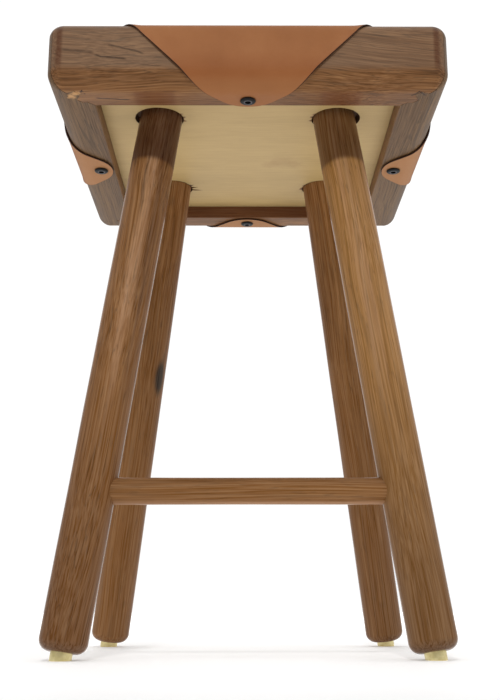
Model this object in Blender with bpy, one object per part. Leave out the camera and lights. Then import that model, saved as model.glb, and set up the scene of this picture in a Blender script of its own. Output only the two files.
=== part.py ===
"""A square walnut stool with four splayed round legs and a leather cover.

The seat is a box of four lock-mitred rails.  Inside it, from below: a plywood
panel with clearance holes, two battens that hold the leg tenons, and a thin
deck flush with the rail tops.  One square sheet of leather lies over the seat
as a diamond; its corners wrap round and under the rails, each held by a screw.

Metres.  +Z is up, +X is to the right seen from the front, +Y runs to the rear.
The origin is on the floor under the centre of the seat.
"""
import math

import bmesh
import bpy
from mathutils import Matrix, Vector

# Seat frame
SEAT_SIDE = 0.307
FRAME_TOP = 0.470
RAIL_HEIGHT = 0.053
RAIL_WIDTH = 0.0345
TOP_ROUND = 0.008
CORNER_ROUND = 0.008
BOTTOM_ROUND = 0.0145
ARRIS = 0.0008
MIN_CORNER_ROUND = 0.0006

# Lock mitre, as (along the corner's diagonal, across it towards the front or rear rail)
MITRE_STATIONS = ((-0.006, 0.0), (0.0205, 0.0), (0.0225, 0.0062), (0.0290, 0.0062),
                  (0.0325, -0.0030), (0.0385, -0.0030), (0.0405, 0.0), (0.110, 0.0))

# Boards inside the frame
PANEL_RECESS = 0.0118
PANEL_THICKNESS = 0.006
BATTEN_THICKNESS = 0.024
BATTEN_WIDTH = 0.080
HOUSING_DEPTH = 0.010

# Legs, given by where their axes cross the panel's underside and the floor
LEG_RADIUS = 0.017
LEG_TOP_RADIUS = 0.0175
LEG_AT_PANEL = 0.0719
LEG_AT_FLOOR = 0.1277
LEG_END_HEIGHT = 0.0052
LEG_END_ROUND = 0.008
TENON_RADIUS = 0.0127
PANEL_HOLE_RADIUS = 0.0199
PANEL_HOLE_OFFSET = 0.0013
WEDGE_WIDTH = 0.021
WEDGE_DEPTH = 0.017
WEDGE_TOP_THICKNESS = 0.0032
WEDGE_TIP_THICKNESS = 0.0010

# Stretcher and foot pins
STRETCHER_HEIGHT = 0.1162
STRETCHER_RADIUS = 0.0097
STRETCHER_STOPS_SHORT = 0.002
PIN_RADIUS = 0.0076
PIN_BURIED = 0.022

# Leather cover and its screws
LEATHER_THICKNESS = 0.0014
SHEET_HALF_DIAGONAL = 0.2421
TIP_RADIUS = 0.029
SCREW_INSET = 0.0225
SCREW_HEAD_RADIUS = 0.0060
SCREW_HEAD_HEIGHT = 0.0036
SCREW_RIM_HEIGHT = 0.0010
SCREW_SHANK_RADIUS = 0.0026
SCREW_SHANK_LENGTH = 0.018
SCREW_TIP_LENGTH = 0.003
HEX_SOCKET_RADIUS = 0.0024
HEX_SOCKET_DEPTH = 0.0020

# Clearance between touching pieces, how far cutters run past what they cut, and
# the distance under which doubled points are merged
GAP = 0.0003
OVERSHOOT = 0.02
MERGE = 1e-5

# How finely round surfaces are divided
LEG_SEGMENTS = 40
SMALL_SEGMENTS = 28
ROUND_STEPS = 6
BOTTOM_STEPS = 8
BEND_STEPS = 4
TIP_STEPS = 8
SMOOTH_ANGLE = math.radians(35)

# Worked out from the dimensions above
HALF_SEAT = SEAT_SIDE / 2
FRAME_BOTTOM = FRAME_TOP - RAIL_HEIGHT
HALF_OPENING = HALF_SEAT - RAIL_WIDTH
PANEL_BOTTOM = FRAME_BOTTOM + PANEL_RECESS
BATTEN_BOTTOM = PANEL_BOTTOM + PANEL_THICKNESS + GAP
BATTEN_TOP = BATTEN_BOTTOM + BATTEN_THICKNESS
DECK_BOTTOM = BATTEN_TOP + GAP
LEG_SPLAY = (LEG_AT_FLOOR - LEG_AT_PANEL) / PANEL_BOTTOM
STRETCHER_X = LEG_AT_FLOOR - LEG_SPLAY * STRETCHER_HEIGHT
BATTEN_X = LEG_AT_FLOOR - LEG_SPLAY * (BATTEN_BOTTOM + BATTEN_TOP) / 2

WALNUT = ("walnut", (0.215, 0.098, 0.043), 0.50, 0.0)
WALNUT_LEG = ("walnut_leg", (0.225, 0.105, 0.045), 0.48, 0.0)
BIRCH = ("birch_plywood", (0.450, 0.320, 0.150), 0.55, 0.0)
BEECH = ("beech", (0.480, 0.300, 0.160), 0.60, 0.0)
LEATHER = ("vegetable_tanned_leather", (0.330, 0.135, 0.065), 0.55, 0.0)
BRASS = ("brass", (0.600, 0.480, 0.190), 0.38, 1.0)
BLACK_STEEL = ("blackened_steel", (0.020, 0.021, 0.025), 0.40, 0.8)


def clear_scene():
    """Remove whatever the scene holds."""
    for item in list(bpy.data.objects):
        bpy.data.objects.remove(item, do_unlink=True)


def make_material(spec):
    """Return the Principled material for a (name, colour, roughness, metallic) entry."""
    name, colour, roughness, metallic = spec
    found = bpy.data.materials.get(name)
    if found:
        return found
    made = bpy.data.materials.new(name)
    made.use_nodes = True
    shader = made.node_tree.nodes["Principled BSDF"]
    shader.inputs["Base Color"].default_value = (*colour, 1.0)
    shader.inputs["Roughness"].default_value = roughness
    shader.inputs["Metallic"].default_value = metallic
    made.diffuse_color = (*colour, 1.0)
    return made


def finish_mesh(bm, name):
    """Turn a bmesh into a mesh with outward faces."""
    bmesh.ops.recalc_face_normals(bm, faces=bm.faces[:])
    mesh = bpy.data.meshes.new(name)
    bm.to_mesh(mesh)
    bm.free()
    return mesh


def add_object(name, mesh, spec, parent=None):
    """Put a mesh in the scene as a named piece."""
    piece = bpy.data.objects.new(name, mesh)
    bpy.context.scene.collection.objects.link(piece)
    if spec:
        mesh.materials.clear()
        mesh.materials.append(make_material(spec))
    piece.parent = parent
    return piece


def add_cutter(name, mesh, parent=None):
    """Put a mesh in the scene as a guide for Boolean modifiers only."""
    cutter = add_object(name, mesh, None, parent)
    cutter.hide_render = True
    cutter.display_type = "WIRE"
    return cutter


def add_empty(name, location, axis):
    """An empty whose local Z points along axis."""
    empty = bpy.data.objects.new(name, None)
    bpy.context.scene.collection.objects.link(empty)
    empty.location = location
    empty.rotation_mode = "QUATERNION"
    empty.rotation_quaternion = Vector((0.0, 0.0, 1.0)).rotation_difference(axis)
    return empty


def combine(piece, cutter, operation):
    """Give a piece one exact Boolean modifier."""
    modifier = piece.modifiers.new(cutter.name, "BOOLEAN")
    modifier.operation = operation
    modifier.solver = "EXACT"
    modifier.object = cutter


def shade_round(mesh):
    """Smooth shading with sharp edges kept at real corners."""
    mesh.shade_smooth()
    mesh.set_sharp_from_angle(angle=SMOOTH_ANGLE)


def box_mesh(name, low, high):
    """An axis-aligned box between two corners."""
    bm = bmesh.new()
    low = Vector(low)
    high = Vector(high)
    size = high - low
    place = Matrix.Translation((low + high) / 2) @ Matrix.Diagonal((*size, 1.0))
    bmesh.ops.create_cube(bm, size=1.0, matrix=place)
    return finish_mesh(bm, name)


def rod_bmesh(radius, low, high, segments, top_radius=None):
    """A rod on the Z axis from height low to height high, tapered if asked."""
    bm = bmesh.new()
    place = Matrix.Translation((0.0, 0.0, (low + high) / 2))
    bmesh.ops.create_cone(bm, cap_ends=True, segments=segments, radius1=radius,
                          radius2=top_radius or radius, depth=high - low, matrix=place)
    return bm


def prism_mesh(name, outline, low, high):
    """A plan outline drawn up from height low to height high."""
    bm = bmesh.new()
    corners = [bm.verts.new((x, y, low)) for x, y in outline]
    base = bm.faces.new(corners)
    grown = bmesh.ops.extrude_face_region(bm, geom=[base])
    top = [item for item in grown["geom"] if isinstance(item, bmesh.types.BMVert)]
    bmesh.ops.translate(bm, verts=top, vec=(0.0, 0.0, high - low))
    return finish_mesh(bm, name)


def trim(bm, point, normal):
    """Cut away what lies beyond a plane and close the cut with a face."""
    everything = bm.verts[:] + bm.edges[:] + bm.faces[:]
    cut = bmesh.ops.bisect_plane(bm, geom=everything, plane_co=point,
                                 plane_no=normal, clear_outer=True)
    rim = [item for item in cut["geom_cut"] if isinstance(item, bmesh.types.BMEdge)]
    bmesh.ops.edgenet_fill(bm, edges=rim)


# --- seat frame ------------------------------------------------------------

def plan_outline(half, radius, steps):
    """A rounded square, counter-clockwise, as a list of (x, y)."""
    points = []
    for quarter in range(4):
        start = math.pi / 2 * quarter
        turn = Matrix.Rotation(start, 2)
        centre = turn @ Vector((half - radius, half - radius))
        for step in range(steps + 1):
            angle = start + math.pi / 2 * step / steps
            points.append(centre + radius * Vector((math.cos(angle), math.sin(angle))))
    return points


def frame_levels():
    """(height, inset) of the outer skin from the bottom face up to the top face."""
    levels = []
    for step in range(BOTTOM_STEPS + 1):
        angle = math.pi / 2 * (1 - step / BOTTOM_STEPS)
        height = FRAME_BOTTOM + BOTTOM_ROUND * (1 - math.sin(angle))
        levels.append((height, BOTTOM_ROUND * (1 - math.cos(angle))))
    for step in range(ROUND_STEPS + 1):
        angle = math.pi / 2 * step / ROUND_STEPS
        height = FRAME_TOP - TOP_ROUND * (1 - math.sin(angle))
        levels.append((height, TOP_ROUND * (1 - math.cos(angle))))
    return levels


def frame_block():
    """The outside of the whole seat frame as one solid block."""
    bm = bmesh.new()
    rings = []
    for height, inset in frame_levels():
        radius = max(CORNER_ROUND - inset, MIN_CORNER_ROUND)
        outline = plan_outline(HALF_SEAT - inset, radius, ROUND_STEPS)
        rings.append([bm.verts.new((x, y, height)) for x, y in outline])
    for lower, upper in zip(rings, rings[1:]):
        for index in range(len(lower)):
            after = (index + 1) % len(lower)
            bm.faces.new((lower[index], lower[after], upper[after], upper[index]))
    bm.faces.new(rings[0])
    bm.faces.new(rings[-1])
    return finish_mesh(bm, "frame_block")


def opening_cutter():
    """The square opening inside the rails, flared to break its lower arris."""
    bm = bmesh.new()
    rings = []
    for height, half in ((FRAME_BOTTOM - OVERSHOOT, HALF_OPENING + ARRIS + OVERSHOOT),
                         (FRAME_BOTTOM + ARRIS, HALF_OPENING),
                         (FRAME_TOP + OVERSHOOT, HALF_OPENING)):
        corners = ((-half, -half), (half, -half), (half, half), (-half, half))
        rings.append([bm.verts.new((x, y, height)) for x, y in corners])
    for lower, upper in zip(rings, rings[1:]):
        for index in range(4):
            after = (index + 1) % 4
            bm.faces.new((lower[index], lower[after], upper[after], upper[index]))
    bm.faces.new(rings[0])
    bm.faces.new(rings[-1])
    return add_cutter("opening_cutter", finish_mesh(bm, "opening_cutter"))


def mitre_path(side_x, side_y, shift):
    """Plan points of one lock mitre, from outside the corner to inside the frame.

    Along the mitre diagonal, a tongue of the side rail enters the front or rear
    rail, followed by a shallower tongue the other way.  shift moves the whole
    line towards the front or rear rail.
    """
    points = []
    for along, across in MITRE_STATIONS:
        across += shift
        from_side = (along + across) / math.sqrt(2)
        from_front = (along - across) / math.sqrt(2)
        points.append((side_x * (HALF_SEAT - from_side), side_y * (HALF_SEAT - from_front)))
    return points


def rail_region(name, side_x, side_y):
    """Plan prism that one rail may fill; one of the sides is 0 for its own axis."""
    if side_y:
        outline = mitre_path(-1, side_y, GAP / 2) + mitre_path(1, side_y, GAP / 2)[::-1]
    else:
        outline = mitre_path(side_x, -1, -GAP / 2) + mitre_path(side_x, 1, -GAP / 2)[::-1]
    mesh = prism_mesh(name, outline, FRAME_BOTTOM - OVERSHOOT, FRAME_TOP + OVERSHOOT)
    return add_cutter(name, mesh)


def add_housings(rail, side_y):
    """Pockets in a front or rear rail for the batten ends."""
    for side_x, word in ((-1, "left"), (1, "right")):
        low = (side_x * BATTEN_X - BATTEN_WIDTH / 2 - GAP,
               side_y * HALF_OPENING - HOUSING_DEPTH - GAP, BATTEN_BOTTOM - GAP)
        high = (side_x * BATTEN_X + BATTEN_WIDTH / 2 + GAP,
                side_y * HALF_OPENING + HOUSING_DEPTH + GAP, BATTEN_TOP + GAP)
        name = f"{rail.name}_{word}_housing_cutter"
        combine(rail, add_cutter(name, box_mesh(name, low, high)), "DIFFERENCE")


def screw_place(side_x, side_y):
    """Plan position of the screw that holds the flap on one side."""
    reach = HALF_SEAT - SCREW_INSET
    return side_x * reach, side_y * reach


def screw_hole_cutter(name, side_x, side_y):
    """The bore for one cover screw, through the leather and into the rail."""
    x, y = screw_place(side_x, side_y)
    low = FRAME_BOTTOM - OVERSHOOT
    high = FRAME_BOTTOM + SCREW_SHANK_LENGTH
    bm = rod_bmesh(SCREW_SHANK_RADIUS + GAP, low, high, SMALL_SEGMENTS)
    bmesh.ops.translate(bm, verts=bm.verts[:], vec=(x, y, 0.0))
    return add_cutter(name, finish_mesh(bm, name))


def build_rails(holes):
    """Four rails cut from the frame block."""
    block = frame_block()
    shade_round(block)
    opening = opening_cutter()
    for word, side_x, side_y in SIDES:
        rail = add_object(f"{word}_rail", block.copy(), WALNUT)
        combine(rail, rail_region(f"{word}_rail_region", side_x, side_y), "INTERSECT")
        combine(rail, opening, "DIFFERENCE")
        if side_y:
            add_housings(rail, side_y)
        combine(rail, holes[word], "DIFFERENCE")


# --- boards inside the frame -----------------------------------------------

def build_boards(leg_empties):
    """The underside panel, the two leg battens and the deck."""
    half = HALF_OPENING - GAP
    panel = add_object("underside_panel", box_mesh(
        "underside_panel", (-half, -half, PANEL_BOTTOM),
        (half, half, PANEL_BOTTOM + PANEL_THICKNESS)), BIRCH)
    for word, side_x, side_y in CORNERS:
        bm = rod_bmesh(PANEL_HOLE_RADIUS, PANEL_BOTTOM - OVERSHOOT,
                       PANEL_BOTTOM + PANEL_THICKNESS + OVERSHOOT, LEG_SEGMENTS)
        name = f"{word}_panel_hole_cutter"
        cutter = add_cutter(name, finish_mesh(bm, name), leg_empties[word])
        cutter.location = (side_x * PANEL_HOLE_OFFSET, side_y * PANEL_HOLE_OFFSET, 0.0)
        combine(panel, cutter, "DIFFERENCE")

    reach = HALF_OPENING + HOUSING_DEPTH
    for word, side in (("left", -1), ("right", 1)):
        name = f"{word}_leg_batten"
        middle = side * BATTEN_X
        mesh = box_mesh(name, (middle - BATTEN_WIDTH / 2, -reach, BATTEN_BOTTOM),
                        (middle + BATTEN_WIDTH / 2, reach, BATTEN_TOP))
        batten = add_object(name, mesh, BEECH)
        for place in ("front", "rear"):
            bm = rod_bmesh(TENON_RADIUS + GAP, PANEL_BOTTOM - OVERSHOOT,
                           FRAME_TOP + OVERSHOOT, LEG_SEGMENTS)
            hole = f"{place}_{word}_tenon_hole_cutter"
            cutter = add_cutter(hole, finish_mesh(bm, hole), leg_empties[f"{place}_{word}"])
            combine(batten, cutter, "DIFFERENCE")

    add_object("seat_deck", box_mesh(
        "seat_deck", (-half, -half, DECK_BOTTOM), (half, half, FRAME_TOP)), BIRCH)


# --- legs, wedges, pins and stretcher ---------------------------------------

def leg_axis(side_x, side_y):
    """Unit direction up a leg."""
    return Vector((-side_x * LEG_SPLAY, -side_y * LEG_SPLAY, 1.0)).normalized()


def level_plane(empty, height):
    """A level plane at a height, as (point, upward normal) in an empty's own axes."""
    inverse = empty.rotation_quaternion.inverted()
    point = inverse @ (Vector((empty.location.x, empty.location.y, height)) - empty.location)
    return point, inverse @ Vector((0.0, 0.0, 1.0))


def leg_mesh(name, empty):
    """The slightly tapered leg up to its shoulder, its lower end rounded over."""
    stretch = empty["stretch"]
    bm = rod_bmesh(LEG_RADIUS, LEG_END_HEIGHT * stretch, BATTEN_TOP * stretch, LEG_SEGMENTS,
                   LEG_TOP_RADIUS)
    foot = [edge for edge in bm.edges
            if all(vert.co.z < LEG_END_HEIGHT * stretch + GAP for vert in edge.verts)]
    bmesh.ops.bevel(bm, geom=foot, offset=LEG_END_ROUND, offset_type="OFFSET",
                    segments=ROUND_STEPS, profile=0.5, affect="EDGES")
    point, normal = level_plane(empty, BATTEN_BOTTOM - GAP)
    trim(bm, point, normal)
    return finish_mesh(bm, name)


def tenon_mesh(name, empty):
    """The tenon above the shoulder, cut flush with the batten's top."""
    stretch = empty["stretch"]
    bm = rod_bmesh(TENON_RADIUS, (PANEL_BOTTOM - OVERSHOOT) * stretch,
                   (FRAME_TOP + OVERSHOOT) * stretch, LEG_SEGMENTS)
    point, normal = level_plane(empty, BATTEN_TOP)
    trim(bm, point, normal)
    return finish_mesh(bm, name)


def wedge_mesh(name, empty, slack):
    """The tapered wedge in a tenon's top; slack makes the kerf that takes it."""
    stretch = empty["stretch"]
    tip = (BATTEN_TOP - WEDGE_DEPTH) * stretch
    taper = (WEDGE_TOP_THICKNESS - WEDGE_TIP_THICKNESS) / (WEDGE_DEPTH * stretch)
    top = (BATTEN_TOP + TENON_RADIUS) * stretch
    half_width = WEDGE_WIDTH / 2 + (TENON_RADIUS if slack else 0.0)
    bm = bmesh.new()
    rings = []
    for height in (tip - slack, top):
        half = (WEDGE_TIP_THICKNESS + taper * (height - tip)) / 2 + slack
        corners = ((-half_width, -half), (half_width, -half),
                   (half_width, half), (-half_width, half))
        rings.append([bm.verts.new((x, y, height)) for x, y in corners])
    for index in range(4):
        after = (index + 1) % 4
        bm.faces.new((rings[0][index], rings[0][after], rings[1][after], rings[1][index]))
    bm.faces.new(rings[0])
    bm.faces.new(rings[1])
    if not slack:
        bmesh.ops.recalc_face_normals(bm, faces=bm.faces[:])
        point, normal = level_plane(empty, BATTEN_TOP - GAP)
        trim(bm, point, normal)
    return finish_mesh(bm, name)


def pin_mesh(name, empty):
    """A foot pin on the leg's axis, its lower end trimmed flat to the floor."""
    stretch = empty["stretch"]
    bm = rod_bmesh(PIN_RADIUS, -OVERSHOOT, (LEG_END_HEIGHT + PIN_BURIED) * stretch,
                   SMALL_SEGMENTS)
    point, normal = level_plane(empty, 0.0)
    trim(bm, point, -normal)
    return finish_mesh(bm, name)


def stretcher_rod(name, radius, half_length):
    """A rod along X between the front legs."""
    bm = rod_bmesh(radius, -half_length, half_length, SMALL_SEGMENTS)
    turn = Matrix.Translation((0.0, -STRETCHER_X, STRETCHER_HEIGHT))
    turn = turn @ Matrix.Rotation(math.pi / 2, 4, "Y")
    bmesh.ops.transform(bm, matrix=turn, verts=bm.verts[:])
    return finish_mesh(bm, name)


def build_leg(word, empty, socket):
    """One leg with its tenon, kerf, wedge and foot pin."""
    mesh = leg_mesh(f"{word}_leg", empty)
    shade_round(mesh)
    leg = add_object(f"{word}_leg", mesh, WALNUT_LEG, empty)
    name = f"{word}_tenon"
    combine(leg, add_cutter(name, tenon_mesh(name, empty), empty), "UNION")
    name = f"{word}_kerf_cutter"
    combine(leg, add_cutter(name, wedge_mesh(name, empty, GAP), empty), "DIFFERENCE")
    name = f"{word}_pin_bore_cutter"
    bore = rod_bmesh(PIN_RADIUS + GAP, -OVERSHOOT,
                     (LEG_END_HEIGHT + PIN_BURIED) * empty["stretch"] + GAP, SMALL_SEGMENTS)
    combine(leg, add_cutter(name, finish_mesh(bore, name), empty), "DIFFERENCE")
    if word.startswith("front"):
        combine(leg, socket, "DIFFERENCE")
    name = f"{word}_tenon_wedge"
    add_object(name, wedge_mesh(name, empty, 0.0), BEECH, empty)
    pin = pin_mesh(f"{word}_foot_pin", empty)
    shade_round(pin)
    add_object(f"{word}_foot_pin", pin, BRASS, empty)


def build_stretcher():
    """The rung between the front legs; returns the cutter for its two sockets."""
    half_length = STRETCHER_X - STRETCHER_STOPS_SHORT
    mesh = stretcher_rod("front_stretcher", STRETCHER_RADIUS, half_length)
    shade_round(mesh)
    add_object("front_stretcher", mesh, WALNUT_LEG)
    socket = stretcher_rod("stretcher_socket_cutter", STRETCHER_RADIUS + GAP, half_length + GAP)
    return add_cutter("stretcher_socket_cutter", socket)


# --- leather cover -----------------------------------------------------------

FLAT_HALF = HALF_SEAT - TOP_ROUND
TOP_ARC = TOP_ROUND * math.pi / 2
SIDE_RUN = RAIL_HEIGHT - TOP_ROUND - BOTTOM_ROUND
BOTTOM_ARC = BOTTOM_ROUND * math.pi / 2


def fold(run, lift):
    """Where the sheet is after a run past the flat top: (outward reach, height)."""
    if run <= TOP_ARC:
        angle = run / TOP_ROUND
        reach = FLAT_HALF + (TOP_ROUND + lift) * math.sin(angle)
        return reach, FRAME_TOP - TOP_ROUND + (TOP_ROUND + lift) * math.cos(angle)
    run -= TOP_ARC
    if run <= SIDE_RUN:
        return HALF_SEAT + lift, FRAME_TOP - TOP_ROUND - run
    run -= SIDE_RUN
    if run <= BOTTOM_ARC:
        angle = run / BOTTOM_ROUND
        reach = HALF_SEAT - BOTTOM_ROUND + (BOTTOM_ROUND + lift) * math.cos(angle)
        return reach, FRAME_BOTTOM + BOTTOM_ROUND - (BOTTOM_ROUND + lift) * math.sin(angle)
    run -= BOTTOM_ARC
    return HALF_SEAT - BOTTOM_ROUND - run, FRAME_BOTTOM - lift


def wrapped(x, y, lift):
    """The place of a flat sheet point on the stool, lifted off the wood."""
    if abs(y) > FLAT_HALF:
        reach, height = fold(abs(y) - FLAT_HALF, lift)
        return x, math.copysign(reach, y), height
    if abs(x) > FLAT_HALF:
        reach, height = fold(abs(x) - FLAT_HALF, lift)
        return math.copysign(reach, x), y, height
    return x, y, FRAME_TOP + lift


def sheet_lines():
    """Grid lines of the flat sheet, denser where it bends."""
    runs = [TOP_ARC * step / BEND_STEPS for step in range(BEND_STEPS + 1)]
    runs += [TOP_ARC + SIDE_RUN + BOTTOM_ARC * step / ROUND_STEPS
             for step in range(ROUND_STEPS + 1)]
    overhang = SHEET_HALF_DIAGONAL - FLAT_HALF
    runs += [overhang - TIP_RADIUS * 2 / 3, overhang]
    outer = [FLAT_HALF + run for run in runs]
    inner = [FLAT_HALF * step / BEND_STEPS for step in range(1 - BEND_STEPS, BEND_STEPS)]
    return [-line for line in outer[::-1]] + inner + outer


def flat_sheet():
    """The flat sheet as a bmesh: a grid trimmed to a diamond with round tips."""
    bm = bmesh.new()
    lines = sheet_lines()
    grid = {}
    for column in range(len(lines) - 1):
        for row in range(len(lines) - 1):
            near_x = min(abs(lines[column]), abs(lines[column + 1]))
            near_y = min(abs(lines[row]), abs(lines[row + 1]))
            if near_x + near_y > SHEET_HALF_DIAGONAL:
                continue
            corners = []
            for key in ((column, row), (column + 1, row), (column + 1, row + 1), (column, row + 1)):
                if key not in grid:
                    grid[key] = bm.verts.new((lines[key[0]], lines[key[1]], 0.0))
                corners.append(grid[key])
            bm.faces.new(corners)
    tip_centre = SHEET_HALF_DIAGONAL - TIP_RADIUS * math.sqrt(2)
    for quarter in range(4):
        turn = Matrix.Rotation(math.pi / 2 * quarter, 3, "Z")
        for step in range(TIP_STEPS + 1):
            angle = math.pi / 4 + math.pi / 2 * step / TIP_STEPS
            normal = Vector((math.cos(angle), math.sin(angle), 0.0))
            point = Vector((0.0, tip_centre, 0.0)) + TIP_RADIUS * normal
            bmesh.ops.bisect_plane(bm, geom=bm.verts[:] + bm.edges[:] + bm.faces[:],
                                   dist=MERGE / 10, plane_co=turn @ point,
                                   plane_no=turn @ normal, clear_outer=True)
    bmesh.ops.remove_doubles(bm, verts=bm.verts[:], dist=MERGE)
    bmesh.ops.dissolve_degenerate(bm, edges=bm.edges[:], dist=MERGE)
    return bm


def leather_mesh():
    """The wrapped sheet with its thickness."""
    flat = flat_sheet()
    flat.verts.index_update()
    bm = bmesh.new()
    inner = [bm.verts.new(wrapped(v.co.x, v.co.y, GAP)) for v in flat.verts]
    outer = [bm.verts.new(wrapped(v.co.x, v.co.y, GAP + LEATHER_THICKNESS)) for v in flat.verts]
    for face in flat.faces:
        ring = [vert.index for vert in face.verts]
        bm.faces.new([outer[index] for index in ring])
        bm.faces.new([inner[index] for index in reversed(ring)])
    for edge in flat.edges:
        if edge.is_boundary:
            first, second = (vert.index for vert in edge.verts)
            bm.faces.new((inner[first], inner[second], outer[second], outer[first]))
    flat.free()
    return finish_mesh(bm, "leather_cover")


def build_cover(holes):
    """The leather sheet with its four screw holes."""
    mesh = leather_mesh()
    shade_round(mesh)
    cover = add_object("leather_cover", mesh, LEATHER)
    for hole in holes.values():
        combine(cover, hole, "DIFFERENCE")


def screw_mesh():
    """A button-head screw, head down, seated at z = 0 with its shank up."""
    head_top = SCREW_HEAD_HEIGHT - SCREW_RIM_HEIGHT
    profile = [(0.0, -SCREW_HEAD_HEIGHT)]
    for step in range(1, ROUND_STEPS + 1):
        angle = math.pi / 2 * step / ROUND_STEPS
        profile.append((SCREW_HEAD_RADIUS * math.sin(angle),
                        -SCREW_RIM_HEIGHT - head_top * math.cos(angle)))
    tip = SCREW_SHANK_LENGTH - 2 * GAP
    profile += [(SCREW_HEAD_RADIUS, 0.0), (SCREW_SHANK_RADIUS, 0.0),
                (SCREW_SHANK_RADIUS, tip - SCREW_TIP_LENGTH), (0.0, tip)]
    bm = bmesh.new()
    points = [bm.verts.new((radius, 0.0, height)) for radius, height in profile]
    edges = [bm.edges.new(pair) for pair in zip(points, points[1:])]
    bmesh.ops.spin(bm, geom=points + edges, cent=(0.0, 0.0, 0.0), axis=(0.0, 0.0, 1.0),
                   angle=2 * math.pi, steps=SMALL_SEGMENTS, use_duplicate=False)
    bmesh.ops.remove_doubles(bm, verts=bm.verts[:], dist=MERGE)
    return finish_mesh(bm, "cover_screw")


def hex_socket_mesh():
    """The hexagon driven into a screw's head."""
    bm = rod_bmesh(HEX_SOCKET_RADIUS, -SCREW_HEAD_HEIGHT - OVERSHOOT,
                   -SCREW_HEAD_HEIGHT + HEX_SOCKET_DEPTH, 6)
    return finish_mesh(bm, "hex_socket")


def build_screws():
    """Four screws, each in a bore through the cover into its rail."""
    mesh = screw_mesh()
    shade_round(mesh)
    socket = hex_socket_mesh()
    seat_height = FRAME_BOTTOM - LEATHER_THICKNESS - 2 * GAP
    for word, side_x, side_y in SIDES:
        x, y = screw_place(side_x, side_y)
        screw = add_object(f"{word}_cover_screw", mesh, BLACK_STEEL)
        screw.location = (x, y, seat_height)
        cutter = add_cutter(f"{word}_hex_socket_cutter", socket, screw)
        combine(screw, cutter, "DIFFERENCE")


# --- the stool ---------------------------------------------------------------

SIDES = (("front", 0, -1), ("rear", 0, 1), ("left", -1, 0), ("right", 1, 0))
CORNERS = (("front_left", -1, -1), ("front_right", 1, -1),
           ("rear_left", -1, 1), ("rear_right", 1, 1))


def build_stool():
    """Every piece of the stool."""
    clear_scene()
    holes = {word: screw_hole_cutter(f"{word}_screw_hole_cutter", side_x, side_y)
             for word, side_x, side_y in SIDES}
    build_rails(holes)
    empties = {}
    for word, side_x, side_y in CORNERS:
        foot = (side_x * LEG_AT_FLOOR, side_y * LEG_AT_FLOOR, 0.0)
        axis = leg_axis(side_x, side_y)
        empties[word] = add_empty(f"{word}_leg_axis", foot, axis)
        empties[word]["stretch"] = 1.0 / axis.z
    build_boards(empties)
    socket = build_stretcher()
    for word, empty in empties.items():
        build_leg(word, empty, socket)
    build_cover(holes)
    build_screws()


build_stool()
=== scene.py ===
"""Looks for the walnut stool with a leather cover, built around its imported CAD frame.

Every visible piece is remade here at fine resolution in the place of its CAD
node; the battens, wedges and deck hidden in the seat keep their CAD meshes.
Metres.  +X is right seen from the front, +Y runs to the rear, +Z is up.
"""

import math

import bmesh
import bpy
from mathutils import Matrix, Vector, noise


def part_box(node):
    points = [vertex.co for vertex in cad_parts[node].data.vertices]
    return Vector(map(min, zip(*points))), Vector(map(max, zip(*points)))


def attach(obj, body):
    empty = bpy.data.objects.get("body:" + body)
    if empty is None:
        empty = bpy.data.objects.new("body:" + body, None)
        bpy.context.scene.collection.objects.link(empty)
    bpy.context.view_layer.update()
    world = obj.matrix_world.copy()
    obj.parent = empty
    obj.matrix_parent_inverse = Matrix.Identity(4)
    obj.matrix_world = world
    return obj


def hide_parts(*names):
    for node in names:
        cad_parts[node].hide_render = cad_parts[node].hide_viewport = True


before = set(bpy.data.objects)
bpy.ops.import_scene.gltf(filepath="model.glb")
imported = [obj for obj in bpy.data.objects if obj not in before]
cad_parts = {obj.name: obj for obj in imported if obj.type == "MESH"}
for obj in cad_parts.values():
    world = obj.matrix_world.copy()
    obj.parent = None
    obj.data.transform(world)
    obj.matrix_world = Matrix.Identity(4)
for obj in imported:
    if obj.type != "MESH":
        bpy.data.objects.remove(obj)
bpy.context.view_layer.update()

# --- sizes read from the frame ---

SIDES = (("front", 0, -1), ("rear", 0, 1), ("left", -1, 0), ("right", 1, 0))
CORNERS = (("front_left", -1, -1), ("front_right", 1, -1),
           ("rear_left", -1, 1), ("rear_right", 1, 1))


def ring_centre(node, height):
    """Centre of the CAD vertices of a node that lie at one height."""
    level = [v.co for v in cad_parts[node].data.vertices if abs(v.co.z - height) < 2e-5]
    low = Vector(min(co[axis] for co in level) for axis in range(3))
    high = Vector(max(co[axis] for co in level) for axis in range(3))
    return (low + high) / 2


rail_low, rail_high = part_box("front_rail")
panel_low, panel_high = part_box("underside_panel")
batten_low, batten_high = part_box("left_leg_batten")
stretcher_low, stretcher_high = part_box("front_stretcher")
screw_low, screw_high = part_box("front_cover_screw")

HALF_SEAT = -rail_low.y
FRAME_BOTTOM = rail_low.z
FRAME_TOP = rail_high.z
HALF_OPENING = -rail_high.y
GAP = batten_low.z - panel_high.z
SHOULDER = batten_low.z - GAP
LEG_AT_PANEL = ring_centre("front_right_foot_pin", 0.0).lerp(
    ring_centre("front_right_leg", SHOULDER), panel_low.z / SHOULDER).x
LEATHER_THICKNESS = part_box("leather_cover")[1].z - FRAME_TOP - GAP
STRETCHER_RADIUS = (stretcher_high.z - stretcher_low.z) / 2
STRETCHER_HALF = (stretcher_high.x - stretcher_low.x) / 2
STRETCHER_PLACE = (Matrix.Translation((stretcher_low + stretcher_high) / 2)
                   @ Matrix.Rotation(math.pi / 2, 4, "Y"))
SCREW_RADIUS = (screw_high.x - screw_low.x) / 2
SCREW_INSET = HALF_SEAT + (screw_low.y + screw_high.y) / 2
SCREW_TIP = screw_high.z

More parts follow.
